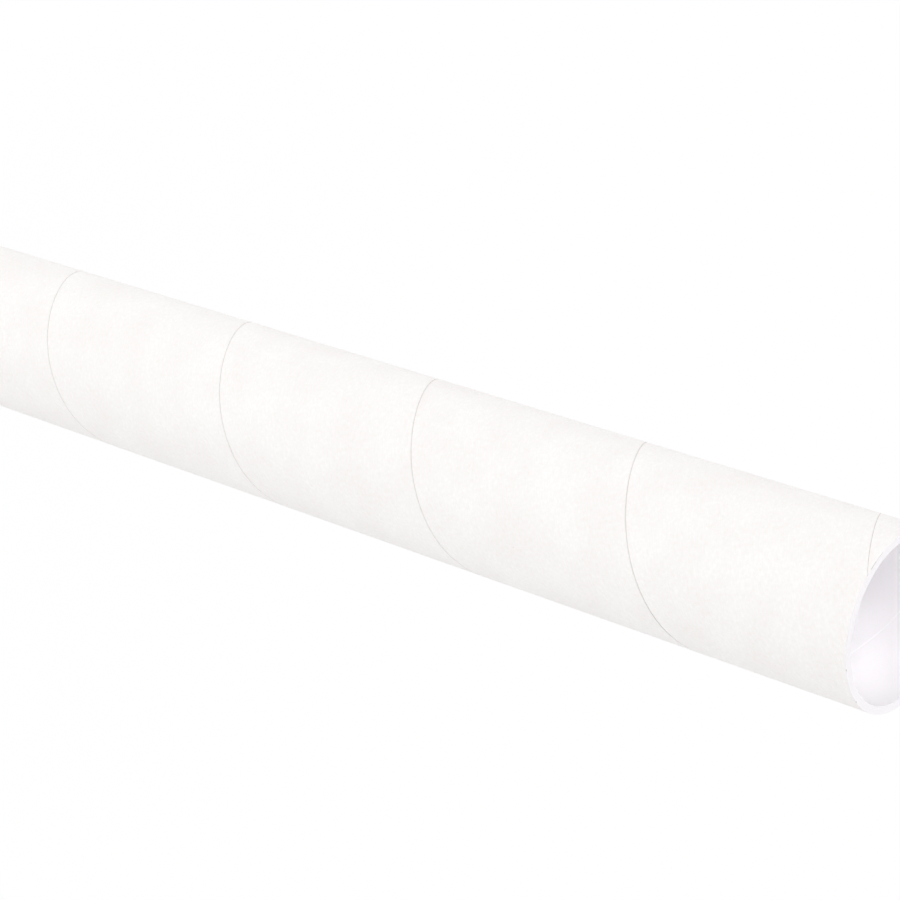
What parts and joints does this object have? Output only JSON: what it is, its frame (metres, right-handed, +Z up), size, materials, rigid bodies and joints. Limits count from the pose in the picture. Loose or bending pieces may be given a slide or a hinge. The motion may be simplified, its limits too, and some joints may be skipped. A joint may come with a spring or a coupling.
{
  "type": "cardboard mailing tube",
  "caption": "Plain white spiral-wound paperboard mailing tube, open at both ends, with a helical butt seam round the outside and another inside the bore.",
  "frame": {"origin": "centre of the lower cut end, on the tube's axis", "axes": "+Z up the tube's axis to the upper open end, and -Y towards the side that the picture shows"},
  "size_m": [0.0558, 0.0558, 0.6096],
  "materials": {
    "paperboard": "uncoated white paper, matt"
  },
  "bodies": {
    "root": {"tube": "paperboard"}
  },
  "joints": []
}
